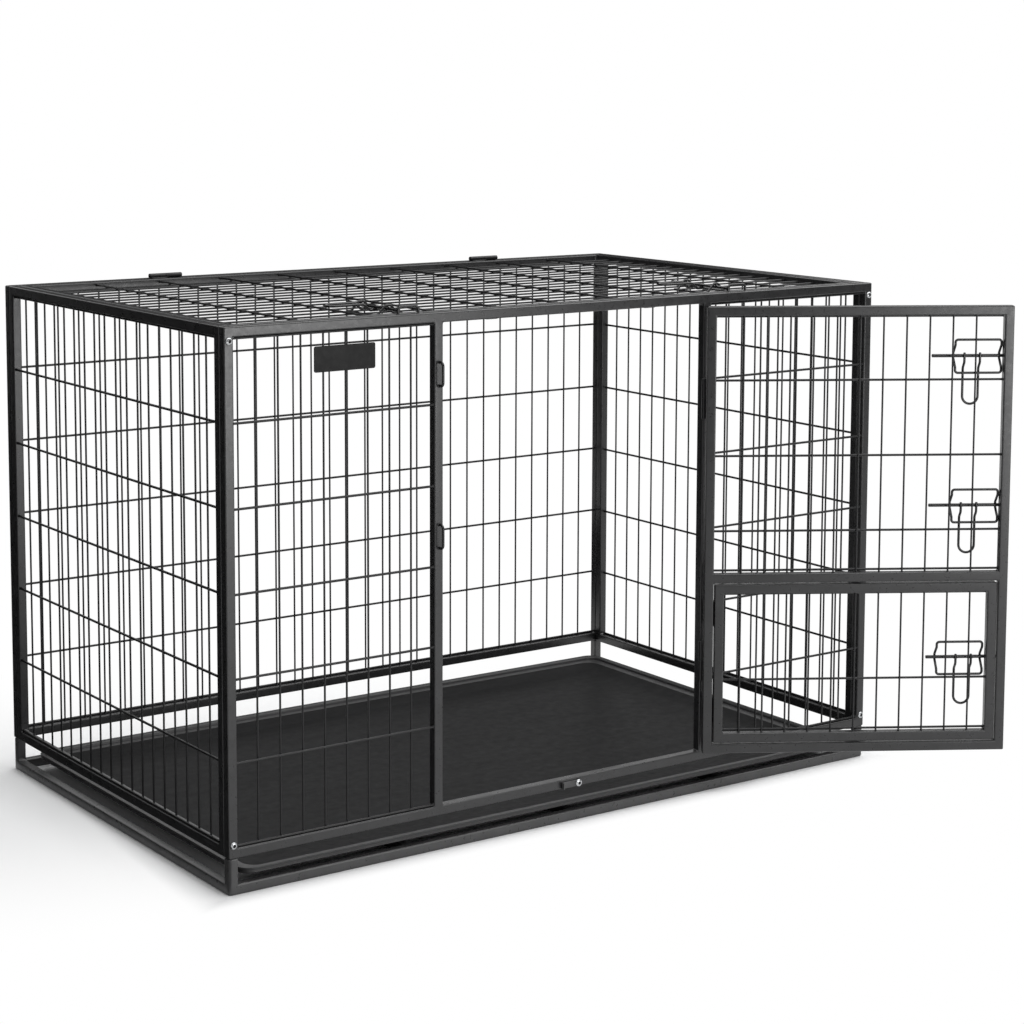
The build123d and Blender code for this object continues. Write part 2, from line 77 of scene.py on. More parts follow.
# Square tube, and the welds in the inner corners of the frames
TUBE_ROUND = 2.1 * MM
LEAST_ROUND = 0.2 * MM
BASE_CORNER = 6 * MM
SEAM = 0.05 * MM
ROUND_STEPS = 4
FILLET_LEG = 3.6 * MM
FILLET_MARGIN = 1 * MM
FILLET_END = 0.45
FILLET_UNEVEN = (0.9, 1.12)
FILLET_STEPS = 4
FILLET_RINGS = 7

# Grille wires, and their welds: how a wire's end spreads on the tube, and the spot at each crossing
WIRE_SIDES = 12
CROSS_STOUTNESS = 1.25
EDGE_REACH = 4 * MM
END_WELD = ((-0.5 * MM, 1.4), (0.4 * MM, 1.3), (1.1 * MM, 1.1), (2.2 * MM, 1.0))
SPOT_SPREAD = 2.15 * MM
SPOT_DEPTH = 1.25 * MM
SPOT_PULL = 0.18 * MM
SPOT_UNEVEN = (0.92, 1.1)
SPOT_LEVELS = ((-1, 0.45), (-0.45, 0.93), (0.45, 0.93), (1, 0.45))
SPOT_SIDES = 8

# Short weld beads: thickness at the ends, how gently they taper, and their unevenness
BEAD_RINGS = 7
BEAD_SIDES = 8
BEAD_END = 0.4
BEAD_TAPER = 0.6
BEAD_UNEVEN = (0.93, 1.07)

# Bent wire
BENT_RADIUS = 2.0 * MM
BENT_SIDES = 14
BEND_STEP = math.radians(12)
BEND_SHARE = 0.499
TIP_SHARE = 0.72
TIP_LENGTH = 2 * EDGE_BREAK

# Wire slide bolts, in the same local frame as their rods: +X to the tip, +Z outwards
ROD_RISE = 4.5 * MM
ROD_RADIUS = 2.75 * MM
ROD_SIDES = 20
ROD_TIP = 0.62
ROD_CHAMFER = 2.6 * EDGE_BREAK
GUIDE_LENGTH = 74 * MM
GUIDE_HEIGHT = 53 * MM
GUIDE_DEPTH = 4 * MM
GUIDE_BEND = 7 * MM
HUMP_FOOT = 18 * MM
HUMP_TOP = 4 * MM
HUMP_RISE = 9.5 * MM
HUMP_BEND = 3.6 * MM
HANDLE_WIDTH = 25 * MM
HANDLE_DROP = 78 * MM
HANDLE_START = 5.5 * MM
KNEE_FROM = 10 * MM
KNEE_TO = 20 * MM
KNEE_OUT = 9 * MM
KNEE_BEND = 7 * MM
WELD_GAP = 0.05 * MM
LEVER_BEAD_ASIDE = 1.6 * MM
LEVER_BEAD_SUNK = 0.4 * MM
LEVER_BEAD_LENGTH = 7 * MM
LEVER_BEAD_RADIUS = 1.2 * MM

# Each bolt: its guide's node, how far the guide and the handle are behind the tip, which way the handle hangs
BOLTS = {
    "upper": ("door_bolt_guides", 14.2 * MM, 60 * MM, 1),
    "lower": ("door_bolt_guides", 14.2 * MM, 60 * MM, 1),
    "feed": ("feed_bolt_guide", 20 * MM, 49.5 * MM, 1),
    "lid_left": ("lid_bolt_guides", 28.5 * MM, 76 * MM, -1),
    "lid_right": ("lid_bolt_guides", 28.5 * MM, 76 * MM, -1),
}

# Keepers, and the weld around each foot as heights over it and radii
KEEPER_BELOW = 9 * MM
KEEPER_ABOVE = 26 * MM
KEEPER_RISE = 11 * MM
KEEPER_BEND = 6.5 * MM
FOOT_LIFT = 0.6 * MM
FOOT_WELD = ((-0.8 * MM, 3.1 * MM), (0.0, 2.9 * MM), (1.3 * MM, 2.1 * MM))
FOOT_SIDES = 14

# Hinges
BARREL_RADIUS = 4 * MM
BARREL_SIDES = 28
LEAF = 2 * MM
SLAB_ROUND = 1.5
SLAB_STEPS = 2
LEAF_BEAD_SUNK = 0.4 * MM
LEAF_BEAD_SHARE = 0.8
LEAF_BEAD_RADIUS = 1.3 * MM
PIN_RADIUS = 2.5 * MM
PIN_SIDES = 18
PIN_DOME = ((-0.7 * MM, 0.45), (-0.385 * MM, 0.85), (0, 1.0))

# Screws: sizes, then shares of a head's radius and height, and of its socket's width and depth
SCREW_SIDES = 36
SCREW_RADIUS = 5.5 * MM
SCREW_RISE = 3 * MM
STUD_RADIUS = 5.8 * MM
STUD_RISE = 2.4 * MM
SOCKET = 2.3 * MM
SOCKET_DEPTH = 1.9 * MM
STUD_SOCKET_DEPTH = 1.7 * MM
HEAD_FOOT = 0.97
HEAD_EDGE = 0.12
HEAD_DOME = 0.15
HEAD_FLAT = 0.42
HEAD_STEPS = 5
HEAD_QUARTER = 5.6
SOCKET_LEVELS = ((0, 1.06), (0.12, 1), (1, 1))

# Plate on the grille and tab of the tray lock
PLATE_CORNER = 3 * MM
PLATE_BACK_EDGE = 0.2 * MM
PLATE_FRONT_EDGE = 0.4 * MM
PLATE_STEPS = 6
LEAST_CORNER = 0.1 * MM
TAB_ROUND = 4.95 * MM
TAB_SQUARE = 0.6 * MM
TAB_INSET = 0.5 * MM
TAB_EDGE = 0.4 * MM
TAB_STEPS = 8

# Tray mouldings, from the rolled rim inwards; a bend leaves and reaches its straights at two offsets
TRAY_CORNER = 25 * MM
TRAY_CORNER_STEPS = 10
TRAY_WALL = 2 * MM
TRAY_ROLL = 8 * MM
TRAY_BEAD = 1.4 * MM
TRAY_TURN = 15
RIM_FOOT = 1.3 * MM
TRAY_LEDGE_INSET = 24 * MM
LEDGE_BEND = ((-6 * MM, 0), (6 * MM, -1.2 * MM))
TRAY_FLOOR_INSET = 58 * MM
FLOOR_BEND = ((-9 * MM, 1.8 * MM), (9 * MM, 0))
BEND_PLACES = (0, 0.25, 0.5, 0.75, 1)

# Powder coats: darkest and lightest colour, least and most roughness, specular level
COATS = {
    "tube": ((0.013, 0.013, 0.0135), (0.02, 0.02, 0.021), (0.26, 0.36), 0.55),
    # The base's coat is the tube coat made lighter, which paints extra light onto the base.
    "base": ((0.037, 0.037, 0.0375), (0.051, 0.051, 0.052), (0.26, 0.36), 0.55),
    "wire": ((0.007, 0.007, 0.0075), (0.011, 0.011, 0.012), (0.3, 0.4), 0.32),
    "bolt": ((0.009, 0.009, 0.0095), (0.014, 0.014, 0.015), (0.12, 0.2), 0.4),
    "tab": ((0.04, 0.04, 0.041), (0.085, 0.085, 0.086), (0.3, 0.5), 0.4),
}

# The tray's plastic on its rim and in its pan: darkest and lightest colour, specular level
TRAY_RIM = ((0.022, 0.022, 0.0225), (0.03, 0.03, 0.031), 0.48)
TRAY_PAN = ((0.013, 0.013, 0.0133), (0.019, 0.019, 0.0195), 0.02)

# Where in a noise's range its darker and lighter end lie
MIDTONES = (0.3, 0.75)

# Camera
CAMERA_PLACE = (-2.152, -3.227, 1.1658)
CAMERA_YAW = math.radians(34.635)
CAMERA_PITCH = math.radians(-6.328)
CAMERA_ROLL = math.radians(0.125)
CAMERA_LENS = 83.12
CAMERA_SENSOR = 36.0
CAMERA_SHIFT = (0.03, -0.18)

# Floor, its shadow and the light around it
FLOOR_SIZE = 60.0
FLOOR_DROP = 0.2 * MM
FLOOR_PAINT = (0.98, 0.985, 0.99, 1)
SHADOW_CENTRE = (-0.5, 0.25, 0)
SHADOW_REACH = (1.1, 0.62, 1)
SHADOW_FADE = (0.0, 1.1)
FOOTPRINT = (0.61, 0.3725, 1)
EDGE_FADE = (1.0, 1.12)
WORLD_LIGHT = 0.18

# Softboxes: place, aim, width and height, power
SOFTBOXES = {
    "top": ((1.8, 0.3, 3.2), (1.8, 0.3, 0), (6.0, 6.0), 226),
    "front": ((0.725, -3.5, 0.55), (0.725, 0, 0.55), (2.05, 1.0), 40),
}

# Black cloths beside the set, each by its four corners
CLOTH_BLACK = (0.01, 0.01, 0.01, 1)
FLAGS = (
    ((-3.0, -0.5, 0.001), (-0.622, -0.5, 0.001), (-0.622, 5.0, 0.001), (-3.0, 5.0, 0.001)),
    ((-1.6, -0.5, 0), (-1.6, 5.0, 0), (-1.6, 5.0, 2.4), (-1.6, -0.5, 2.4)),
    ((-0.45, 0.75, 0.72), (3.0, 0.75, 0.72), (3.0, 0.75, 1.6), (-0.45, 0.75, 1.6)),
    ((-0.5, 0.75, 0), (3.0, 0.75, 0), (3.0, 0.75, 0.2), (-0.5, 0.75, 0.2)),
    ((1.75, -3.4, 0), (5.5, -3.4, 0), (5.5, -3.4, 2.6), (1.75, -3.4, 2.6)),
    ((-4.0, -3.4, 0), (-0.3, -3.4, 0), (-0.3, -3.4, 2.6), (-4.0, -3.4, 2.6)),
    ((-0.3, -3.4, 1.1), (1.75, -3.4, 1.1), (1.75, -3.4, 2.6), (-0.3, -3.4, 2.6)),
)

UNITS = (Vector((1, 0, 0)), Vector((0, 1, 0)), Vector((0, 0, 1)))
RIGHT, BACK, UP = UNITS
FRONT = -BACK
UPRIGHT = UNITS.index(UP)
CORNERS = ((1, 1), (-1, 1), (-1, -1), (1, -1))
NODES = frame["nodes"]
JOINTS = {joint["name"]: joint for joint in frame["joints"]}
BODIES = {node: body for body, nodes in frame["record"]["behaviour"]["bodies"].items() for node in nodes}

# The open door has its own axes: along it, out of its face, and up
DOOR_ALONG = Vector(JOINTS["upper_bolt_slide"]["axis"])
DOOR_OUT = UP.cross(DOOR_ALONG)
DOOR_AXES = Matrix((DOOR_ALONG, DOOR_OUT, UP)).transposed()
CRATE_AXES = Matrix.Identity(3)
chance = random.Random(11)


def axes_of(node):
    """The axes a node's straight edges follow."""
    return DOOR_AXES if BODIES[node] in ("door", "feed_door") else CRATE_AXES


class Shape:
    """Points and faces of one piece, gathered ring by ring before its mesh is made."""

    def __init__(self):
        self.points = []
        self.faces = []
        self.second_faces = []

    def add_rings(self, rings, closed=False, second_from=None):
        """Joins rings of equally many points; an open run is capped, and may end in a second material."""
        start = len(self.points)
        first_face = len(self.faces)
        count = len(rings[0])
        for ring in rings:
            self.points += ring
        for i in range(len(rings) if closed else len(rings) - 1):
            here = start + i * count
            there = start + (i + 1) % len(rings) * count
            for j in range(count):
                k = (j + 1) % count
                self.faces.append((here + j, here + k, there + k, there + j))
        if not closed:
            last = start + (len(rings) - 1) * count
            self.faces.append(tuple(range(last, last + count)))
            self.faces.append(tuple(reversed(range(start, start + count))))
        if second_from is not None:
            self.second_faces += range(first_face + second_from * count, len(self.faces) - 1)

    def make(self, name, node, material, sharp=SHARP, second=None):
        """Makes the finished piece, in place of a CAD node and on its body."""
        mesh = bpy.data.meshes.new(name)
        mesh.from_pydata(self.points, [], self.faces)
        bm = bmesh.new()
        bm.from_mesh(mesh)
        bmesh.ops.recalc_face_normals(bm, faces=bm.faces)
        bm.to_mesh(mesh)
        bm.free()
        mesh.shade_smooth()
        mesh.set_sharp_from_angle(angle=math.radians(sharp))
        mesh.materials.append(material)
        if second:
            mesh.materials.append(second)
            for index in self.second_faces:
                mesh.polygons[index].material_index = 1
        piece = bpy.data.objects.new(name, mesh)
        bpy.context.scene.collection.objects.link(piece)
        piece.modifiers.new("even_normals", "WEIGHTED_NORMAL").keep_sharp = True
        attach(piece, BODIES[node])
        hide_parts(node)


def solids(node):
    """Corner points of each separate solid of a CAD node."""
    bm = bmesh.new()
    bm.from_mesh(NODES[node].data)
    bmesh.ops.remove_doubles(bm, verts=bm.verts, dist=MERGE)
    groups = []
    seen = set()
    for start in bm.faces:
        if start in seen:
            continue
        seen.add(start)
        queue = [start]
        corners = {}
        while queue:
            face = queue.pop()
            for vert in face.verts:
                corners[vert.index] = vert.co.copy()
            for edge in face.edges:
                if len(edge.link_faces) != 2:
                    continue
                for other in edge.link_faces:
                    if other not in seen:
                        seen.add(other)
                        queue.append(other)
        groups.append(list(corners.values()))
    bm.free()
    return groups


def boxes(node):
    """Lowest and highest corner of each solid of a node, along the axes of what it stands on."""
    to_local = axes_of(node).transposed()
    found = []
    for points in solids(node):
        local = [to_local @ point for point in points]
        low = Vector([min(p[i] for p in local) for i in range(3)])
        high = Vector([max(p[i] for p in local) for i in range(3)])
        found.append((low, high))
    return found


def longest(low, high):
    """Which axis a box is longest along."""
    size = high - low
    return max(range(3), key=lambda i: size[i])


def circle(centre, across, other, radius, sides):
    """Ring of points about a centre, in the plane of two directions."""
    ring = []
    for i in range(sides):
        turn = 2 * math.pi * i / sides
        ring.append(centre + across * (radius * math.cos(turn)) + other * (radius * math.sin(turn)))
    return ring


def rounded_outline(width, height, radii, steps):
    """Rectangle about the origin with round corners, as flat points; one radius, or one for each corner."""
    outline = []
    if isinstance(radii, float):
        radii = (radii,) * len(CORNERS)
    for quarter, ((sx, sy), radius) in enumerate(zip(CORNERS, radii)):
        for step in range(steps + 1):
            turn = math.pi / 2 * (quarter + step / steps)
            x = sx * (width / 2 - radius) + radius * math.cos(turn)
            y = sy * (height / 2 - radius) + radius * math.sin(turn)
            outline.append((x, y))
    return outline


# Frames of square tube

def tube_rings(low, high, run, axes, radii):
    """A square tube's outside: its long edges rounded by radii, its ends by the tube's common radius."""
    a, b = [i for i in range(3) if i != run]
    middle = (low + high) / 2
    rings = []
    turns = [math.pi / 2 * step / ROUND_STEPS for step in range(ROUND_STEPS + 1)]
    stations = [(low[run] + TUBE_ROUND * (1 - math.cos(t)), TUBE_ROUND * (1 - math.sin(t))) for t in turns]
    stations += [(low[run] + high[run] - along, inset) for along, inset in reversed(stations)]
    for along, inset in stations:
        width = high[a] - low[a] - 2 * inset
        height = high[b] - low[b] - 2 * inset
        ring = []
        for x, y in rounded_outline(width, height, [max(r - inset, LEAST_ROUND) for r in radii], ROUND_STEPS):
            point = Vector(middle)
            point[run] = along
            point[a] += x
            point[b] += y
            ring.append(axes @ point)
        rings.append(ring)
    return rings


def meets(box, others, run, end):
    """The tube that this one's end butts against, if any."""
    low, high = box
    tip = (low + high) / 2
    tip[run] = high[run] + PROBE if end > 0 else low[run] - PROBE
    for other in others:
        if other is not box and all(other[0][i] < tip[i] < other[1][i] for i in range(3)):
            return other
    return None


def fillet_ring(corner, leg, run, end, side_axis, side, axes):
    """A weld's hollow section in a corner between two tubes."""
    flat = [(-SHORT_LEAD, -SHORT_LEAD)]
    for step in range(FILLET_STEPS + 1):
        turn = math.pi * 1.5 - math.pi / 2 * step / FILLET_STEPS
        flat.append((leg + leg * math.cos(turn), leg + leg * math.sin(turn)))
    ring = []
    for back, out in flat:
        point = Vector(corner)
        point[run] -= end * back
        point[side_axis] += side * out
        ring.append(axes @ point)
    return ring


def add_fillets(shape, box, other, run, end, axes):
    """Weld in each inner corner where a tube butts against a longer one."""
    low, high = box
    for side_axis in [i for i in range(3) if i != run]:
        third = 3 - run - side_axis
        first = low[third] + FILLET_MARGIN
        length = high[third] - low[third] - 2 * FILLET_MARGIN
        for side in (-1, 1):
            face = high[side_axis] if side > 0 else low[side_axis]
            reach = other[1][side_axis] - face if side > 0 else face - other[0][side_axis]
            if reach < 2 * FILLET_LEG:
                continue
            rings = []
            for i in range(FILLET_RINGS):
                at_end = i in (0, FILLET_RINGS - 1)
                leg = FILLET_LEG * (FILLET_END if at_end else chance.uniform(*FILLET_UNEVEN))
                corner = Vector((0, 0, 0))
                corner[run] = high[run] if end > 0 else low[run]
                corner[side_axis] = face
                corner[third] = first + length * (i / (FILLET_RINGS - 1))
                rings.append(fillet_ring(corner, leg, run, end, side_axis, side, axes))
            shape.add_rings(rings)


def tube_frame(node, material):
    """Tubes with rounded edges, let into one another and welded; the base's posts are rounder outside."""
    shape = Shape()
    axes = axes_of(node)
    found = boxes(node)
    for box in found:
        low, high = Vector(box[0]), Vector(box[1])
        run = longest(low, high)
        radii = [TUBE_ROUND] * len(CORNERS)
        if node == "base_frame" and run == UPRIGHT:
            middle = low + high
            outer = [sx * middle.x > 0 and sy * middle.y > 0 for sx, sy in CORNERS]
            radii = [BASE_CORNER if is_outer else TUBE_ROUND for is_outer in outer]
        for end in (-1, 1):
            other = meets(box, found, run, end)
            if other is None:
                continue
            if end > 0:
                high[run] += 2 * TUBE_ROUND - SEAM
            else:
                low[run] -= 2 * TUBE_ROUND - SEAM
            add_fillets(shape, box, other, run, end, axes)
        shape.add_rings(tube_rings(low, high, run, axes, radii))
    shape.make(node.replace("_frame", "_tubes"), node, material)


# Grilles of welded wire

def add_wire(shape, low, high, axes, stoutness):
    """Round wire in the place of a box, spread by the weld at both its ends."""
    run = longest(low, high)
    a, b = [i for i in range(3) if i != run]
    radius = stoutness * (high[a] - low[a]) / 2
    middle = (low + high) / 2
    stations = [(low[run] + along, spread) for along, spread in END_WELD]
    stations += [(high[run] - along, spread) for along, spread in reversed(END_WELD)]
    rings = []
    for along, spread in stations:
        centre = Vector(middle)
        centre[run] = along
        rings.append([axes @ p for p in circle(centre, UNITS[a], UNITS[b], radius * spread, WIRE_SIDES)])
    shape.add_rings(rings)


def add_spot(shape, first, second, axes):
    """Squashed weld between two crossing wires."""
    one, two = longest(*first), longest(*second)
    depth = 3 - one - two
    centre = Vector((0, 0, 0))
    centre[one] = (second[0][one] + second[1][one]) / 2
    centre[two] = (first[0][two] + first[1][two]) / 2
    centre[depth] = (first[0][depth] + first[1][depth] + second[0][depth] + second[1][depth]) / 4
    spread = SPOT_SPREAD * chance.uniform(*SPOT_UNEVEN)
    centre += UNITS[one] * chance.uniform(-SPOT_PULL, SPOT_PULL)
    rings = []
    for level, share in SPOT_LEVELS:
        on_level = centre + UNITS[depth] * (SPOT_DEPTH * level)
        ring = circle(on_level, UNITS[one], UNITS[two], spread * share, SPOT_SIDES)
        rings.append([axes @ p for p in ring])
    shape.add_rings(rings)


def lay_on_rail(wire, rails, across):
    """Moves a cross wire that is close to a rail until it lies on that rail."""
    low, high = wire
    radius = CROSS_STOUTNESS * (high[across] - low[across]) / 2
    for rail, inwards in zip(rails, (1, -1)):
        move = rail + inwards * (radius - SEAM) - (low[across] + high[across]) / 2
        if abs(move) < EDGE_REACH:
            low[across] += move
            high[across] += move


def grille(node, material):
    """Fine wires welded to a few stouter cross wires, the outermost of which lie on a panel's rails."""
    shape = Shape()
    axes = axes_of(node)
    found = boxes(node)
    runs = [longest(low, high) for low, high in found]
    cross_run = min(set(runs), key=runs.count)
    fine_run = max(set(runs), key=runs.count)
    fine = [wire for wire, run in zip(found, runs) if run == fine_run]
    rails = (min(low[fine_run] for low, high in fine), max(high[fine_run] for low, high in fine))
    for wire, run in zip(found, runs):
        if run == cross_run and "door" not in node:
            lay_on_rail(wire, rails, fine_run)
        add_wire(shape, *wire, axes, CROSS_STOUTNESS if run == cross_run else 1)
    for i, first in enumerate(found):
        for j in range(i + 1, len(found)):
            if runs[i] != runs[j]:
                add_spot(shape, first, found[j], axes)
    shape.make(node.replace("_wires", "_grille"), node, material, sharp=WIRE_SHARP)


# Bent wire

def rounded_path(points, radii, closed=False):
    """A path whose corners are turned into bends of the given radii."""
    path = []
    count = len(points)
    for i, point in enumerate(points):
        if not closed and i in (0, count - 1):
            path.append(point)
            continue
        before = points[i - 1] - point
        after = points[(i + 1) % count] - point
        turn = math.pi - before.angle(after)
        lead = min(radii[i] * math.tan(turn / 2), BEND_SHARE * before.length, BEND_SHARE * after.length)
        start = point + before.normalized() * lead
        halfway = (before.normalized() + after.normalized()).normalized()
        centre = point + halfway * (lead / math.sin(turn / 2))
        arm = start - centre
        ahead = before.normalized() * -arm.length
        steps = max(2, math.ceil(turn / BEND_STEP))
        for step in range(steps + 1):
            angle = turn * step / steps
            path.append(centre + arm * math.cos(angle) + ahead * math.sin(angle))
    return path


def blunted(ring, centre, inwards):
    """The chamfer at a wire's free end: its smaller tip, and the ring where the full section begins."""
    tip = [centre + (p - centre) * TIP_SHARE for p in ring]
    return [tip, [p + inwards * TIP_LENGTH for p in ring]]


def add_sweep(shape, path, closed=False):
    """Round wire along a path, its free ends broken to a small chamfer."""
    count = len(path)
    tangents = []
    for i in range(count):
        before = path[i - 1] if closed or i else path[0]
        after = path[(i + 1) % count] if closed or i < count - 1 else path[-1]
        tangents.append((after - before).normalized())
    normals = [tangents[0].orthogonal().normalized()]
    for here, there in zip(tangents, tangents[1:]):
        normals.append(here.rotation_difference(there) @ normals[-1])
    twist = 0.0
    if closed:
        carried = tangents[-1].rotation_difference(tangents[0]) @ normals[-1]
        twist = math.atan2(carried.cross(normals[0]).dot(tangents[0]), carried.dot(normals[0]))
    rings = []
    for i in range(count):
        across = Quaternion(tangents[i], twist * i / count) @ normals[i]
        rings.append(circle(path[i], across, tangents[i].cross(across), BENT_RADIUS, BENT_SIDES))
    if not closed:
        rings[:1] = blunted(rings[0], path[0], tangents[0])
        rings[-1:] = reversed(blunted(rings[-1], path[-1], -tangents[-1]))
    shape.add_rings(rings, closed)


def add_bead(shape, centre, along, out, length, radius):
    """Short weld bead lying in a corner, a little uneven."""
    side = along.cross(out)
    last = BEAD_RINGS - 1
    rings = []
    for i in range(BEAD_RINGS):
        point = centre + along * (length * (i / last - 0.5))
        swell = math.sin(math.pi * (i + BEAD_TAPER) / (last + 2 * BEAD_TAPER))
        size = radius * (BEAD_END + (1 - BEAD_END) * swell) * chance.uniform(*BEAD_UNEVEN)
        rings.append(circle(point, side, out, size, BEAD_SIDES))
    shape.add_rings(rings)


# Slide bolts and keepers

def bolt_place(name):
    """Matrix from a bolt's local frame, whose origin is on the face under the rod's tip."""
    setback = BOLTS[name][2]
    joint = JOINTS[f"{name}_lever_lift"]
    along = Vector(JOINTS[f"{name}_bolt_slide"]["axis"])
    out = UP if name.startswith("lid") else DOOR_OUT
    origin = Vector(joint["pos_m"]) + along * setback - out * ROD_RISE
    axes = Matrix((along, out.cross(along), out)).transposed()
    return Matrix.Translation(origin) @ axes.to_4x4()


def guide_path(setback):
    """Loop that carries a rod: its short sides rise in a hump over the rod."""
    top = GUIDE_HEIGHT / 2
    points, radii = [], []
    for x, sign in ((-setback - GUIDE_LENGTH, 1), (-setback, -1)):
        side = [(top, -GUIDE_DEPTH), (HUMP_FOOT, -GUIDE_DEPTH), (HUMP_TOP, HUMP_RISE)]
        side += [(-y, z) for y, z in reversed(side)]
        points += [Vector((x, sign * y, z)) for y, z in side]
        radii += [GUIDE_BEND, HUMP_BEND, HUMP_BEND, HUMP_BEND, HUMP_BEND, GUIDE_BEND]
    return rounded_path(points, radii, closed=True)


def handle_path(setback, hang):
    """U under the rod, whose legs knee outwards over the guide."""
    half = HANDLE_WIDTH / 2
    inner = ROD_RISE - ROD_RADIUS - BENT_RADIUS - WELD_GAP
    outer = inner + KNEE_OUT
    leg = [(half, -HANDLE_START, inner), (half, KNEE_FROM, inner), (half, KNEE_TO, outer)]
    leg.append((half, HANDLE_DROP, outer))
    points = leg + [(-x, y, z) for x, y, z in reversed(leg)]
    points = [Vector((x - setback, hang * y, z)) for x, y, z in points]
    return rounded_path(points, [KNEE_BEND] * 3 + [half, half] + [KNEE_BEND] * 3)


def keeper_path(hang):
    """Staple that a rod slides under, its feet on the face."""
    below, above = hang * KEEPER_BELOW, -hang * KEEPER_ABOVE
    foot = -SHORT_LEAD
    points = [(0, below, foot), (0, below, KEEPER_RISE), (0, above, KEEPER_RISE), (0, above, foot)]
    return rounded_path([Vector(p) for p in points], [KEEPER_BEND] * 4)


def rod_length(node, along):
    """How long a rod's solid is."""
    reach = [along.dot(point) for point in solids(node)[0]]
    return max(reach) - min(reach)


def bolts(material):
    """Guide loops, rods and U handles of the slide bolts."""
    loops = {}
    for name, (guide_node, guide_back, handle_back, hang) in BOLTS.items():
        place = bolt_place(name)
        along, down, out = place.to_3x3().col
        loop = loops.setdefault(guide_node, Shape())
        add_sweep(loop, [place @ p for p in guide_path(guide_back)], closed=True)

        handle = Shape()
        add_sweep(handle, [place @ p for p in handle_path(handle_back, hang)])
        for side in (-1, 1):
            leg_x = side * HANDLE_WIDTH / 2 - handle_back
            for aside in (-LEVER_BEAD_ASIDE, LEVER_BEAD_ASIDE):
                spot = Vector((leg_x, aside, ROD_RISE - ROD_RADIUS - LEVER_BEAD_SUNK))
                add_bead(handle, place @ spot, along, out, LEVER_BEAD_LENGTH, LEVER_BEAD_RADIUS)
        handle.make(f"{name}_lever", f"{name}_bolt_handle", material, sharp=WIRE_SHARP)

        length = rod_length(f"{name}_bolt_rod", along)
        tip = place @ Vector((0, 0, ROD_RISE))
        rings = []
        for back, share in ((0, ROD_TIP), (ROD_CHAMFER, 1), (length - ROD_CHAMFER, 1), (length, ROD_TIP)):
            rings.append(circle(tip - along * back, down, out, ROD_RADIUS * share, ROD_SIDES))
        rod = Shape()
        rod.add_rings(rings)
        rod.make(f"{name}_rod", f"{name}_bolt_rod", material)
    for node, loop in loops.items():
        loop.make(node.replace("guide", "loop"), node, material, sharp=WIRE_SHARP)


def keepers(material):
    """Staples on the door post, the door's stile and the front top rail."""
    for node, names, out, hang in (
        ("door_keepers", ("lower", "upper"), FRONT, 1),
        ("feed_keeper", ("feed",), DOOR_OUT, 1),
        ("lid_keepers", ("lid_left", "lid_right"), UP, -1),
    ):
        shape = Shape()
        groups = solids(node)
        for name in names:
            rod = Vector(JOINTS[f"{name}_lever_lift"]["pos_m"])
            along = Vector(JOINTS[f"{name}_bolt_slide"]["axis"])
            if node == "door_keepers":
                along = -RIGHT
            down = out.cross(along)
            points = min(groups, key=lambda group: abs(down.dot(group[0] - rod)))
            middle = sum(points, Vector()) / len(points)
            face = min(out.dot(p) for p in points)
            origin = along * along.dot(middle) + down * down.dot(rod) + out * face
            axes = Matrix((along, down, out)).transposed()
            path = [origin + axes @ p for p in keeper_path(hang)]
            add_sweep(shape, path)
            for foot in (path[0], path[-1]):
                on_face = foot + out * FOOT_LIFT
                shape.add_rings([circle(on_face + out * rise, along, down, radius, FOOT_SIDES)
                                 for rise, radius in FOOT_WELD])
        shape.make(node.replace("keeper", "staple"), node, material, sharp=STAPLE_SHARP)


# Hinges

def add_slab(shape, corner, edges):
    """Block on a corner and three edge vectors, with its edges broken; the last edge is its thickness."""
    a, b, c = edges
    rim = EDGE_BREAK / c.length
    rings = []
    for share, inset in ((0, EDGE_BREAK), (rim, 0), (1 - rim, 0), (1, EDGE_BREAK)):
        width, height = a.length - 2 * inset, b.length - 2 * inset
        centre = corner + a / 2 + b / 2 + c * share
        outline = rounded_outline(width, height, EDGE_BREAK * SLAB_ROUND, SLAB_STEPS)
        rings.append([centre + a.normalized() * x + b.normalized() * y for x, y in outline])
    shape.add_rings(rings)


def hinge_line(joint):
    """A point on a hinge's axis, and the axis pointing up or to the right."""
    return Vector(JOINTS[joint]["pos_m"]), Vector([abs(x) for x in JOINTS[joint]["axis"]])


def hinge_leaves(node, joint, out, material):
    """Rolled barrel and welded leaf of each hinge half."""
    pivot, axis = hinge_line(joint)
    side = axis.cross(out)
    shape = Shape()
    for points in solids(node):
        along = [axis.dot(p - pivot) for p in points]
        across = [side.dot(p - pivot) for p in points]
        low, high = min(along), max(along)
        sign = 1 if max(across) > -min(across) else -1
        reach = max(max(across), -min(across))
        stations = [(low, EDGE_BREAK), (low + EDGE_BREAK, 0), (high - EDGE_BREAK, 0), (high, EDGE_BREAK)]
        rings = []
        for at, inset in stations:
            rings.append(circle(pivot + axis * at, side, out, BARREL_RADIUS - inset, BARREL_SIDES))
        shape.add_rings(rings)
        leaf = side * (sign * reach)
        corner = pivot + axis * low - out * BARREL_RADIUS
        add_slab(shape, corner, (leaf, axis * (high - low), out * LEAF))
        edge = pivot + axis * ((low + high) / 2) + leaf - out * (BARREL_RADIUS - LEAF_BEAD_SUNK)
        add_bead(shape, edge, axis, out, (high - low) * LEAF_BEAD_SHARE, LEAF_BEAD_RADIUS)
    shape.make(node.replace("halves", "leaves"), node, material)


